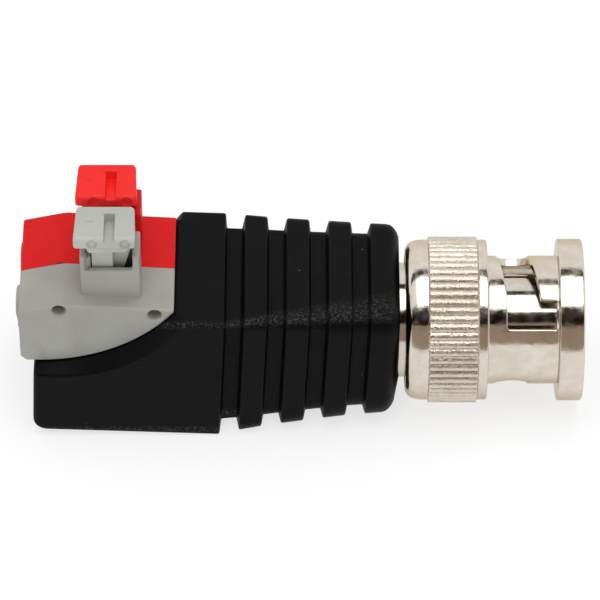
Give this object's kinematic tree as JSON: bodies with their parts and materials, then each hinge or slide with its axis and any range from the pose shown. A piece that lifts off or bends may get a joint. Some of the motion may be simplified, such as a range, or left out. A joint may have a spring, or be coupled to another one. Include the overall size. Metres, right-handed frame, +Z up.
{
  "type": "bayonet coaxial plug with push-button spring terminal",
  "caption": "Bayonet coaxial plug in a ribbed moulded shell, with a two-pole push-button wire terminal on its back.",
  "frame": {"origin": "centre of the coupling nut's bore at its open front face", "axes": "+X along the plug's axis, out of the plug; +Z up through the push buttons; +Y across the terminal, from the grey pole to the red pole"},
  "size_m": [0.0491, 0.0144, 0.0223],
  "materials": {
    "shell_black": "matte black moulded plastic with a fine grain",
    "terminal_grey": "satin light grey moulded plastic",
    "terminal_red": "satin red moulded plastic",
    "button_grey": "satin light grey moulded plastic",
    "button_red": "satin bright red moulded plastic",
    "spring_steel": "bright spring steel strip",
    "tinned_contact": "tinned brass strip",
    "copper_lead": "bare copper wire",
    "nickel_core": "warm bright nickel plate on turned brass",
    "nickel_nut": "warm bright nickel plate on cast and turned metal, with small pits",
    "insulator_white": "milky white insulating plastic",
    "pin_gold": "thin gold plate on turned brass",
    "gasket_rubber": "soft silicone rubber"
  },
  "bodies": {
    "housing": {"shell": "shell_black", "terminal_grey": "terminal_grey", "terminal_red": "terminal_red", "end_plate": "terminal_red", "clamp_spring_grey": "spring_steel", "clamp_spring_red": "spring_steel", "contact_bar_grey": "tinned_contact", "contact_bar_red": "tinned_contact", "lead_centre": "copper_lead", "lead_ground": "copper_lead", "plug_body": "nickel_core", "contact_sleeve": "nickel_core", "insulator": "insulator_white", "centre_pin": "pin_gold", "gasket": "gasket_rubber", "wave_washer": "spring_steel"},
    "grey_button": {"button_grey": "button_grey"},
    "red_button": {"button_red": "button_red"},
    "washer": {"thrust_washer": "nickel_core"},
    "nut": {"coupling_nut": "nickel_nut", "retaining_ring": "spring_steel"}
  },
  "joints": [
    {"name": "grey_press", "type": "slide", "parent": "housing", "child": "grey_button", "axis": [0, 0, -1], "range_m": [0, 0.0015], "stiffness_N_per_m": 800, "springref_m": -0.0005, "deforming": ["clamp_spring_grey"]},
    {"name": "red_press", "type": "slide", "parent": "housing", "child": "red_button", "axis": [0, 0, -1], "range_m": [0, 0.0015], "stiffness_N_per_m": 800, "springref_m": -0.0005, "deforming": ["clamp_spring_red"]},
    {"name": "nut_pull", "type": "slide", "parent": "housing", "child": "washer", "axis": [1, 0, 0], "range_m": [0, 0.0006], "stiffness_N_per_m": 8000, "springref_m": -0.0002, "deforming": ["wave_washer"]},
    {"name": "nut_turn", "type": "hinge", "parent": "washer", "child": "nut", "pos_m": [0, 0, 0], "axis": [1, 0, 0], "continuous": true}
  ]
}
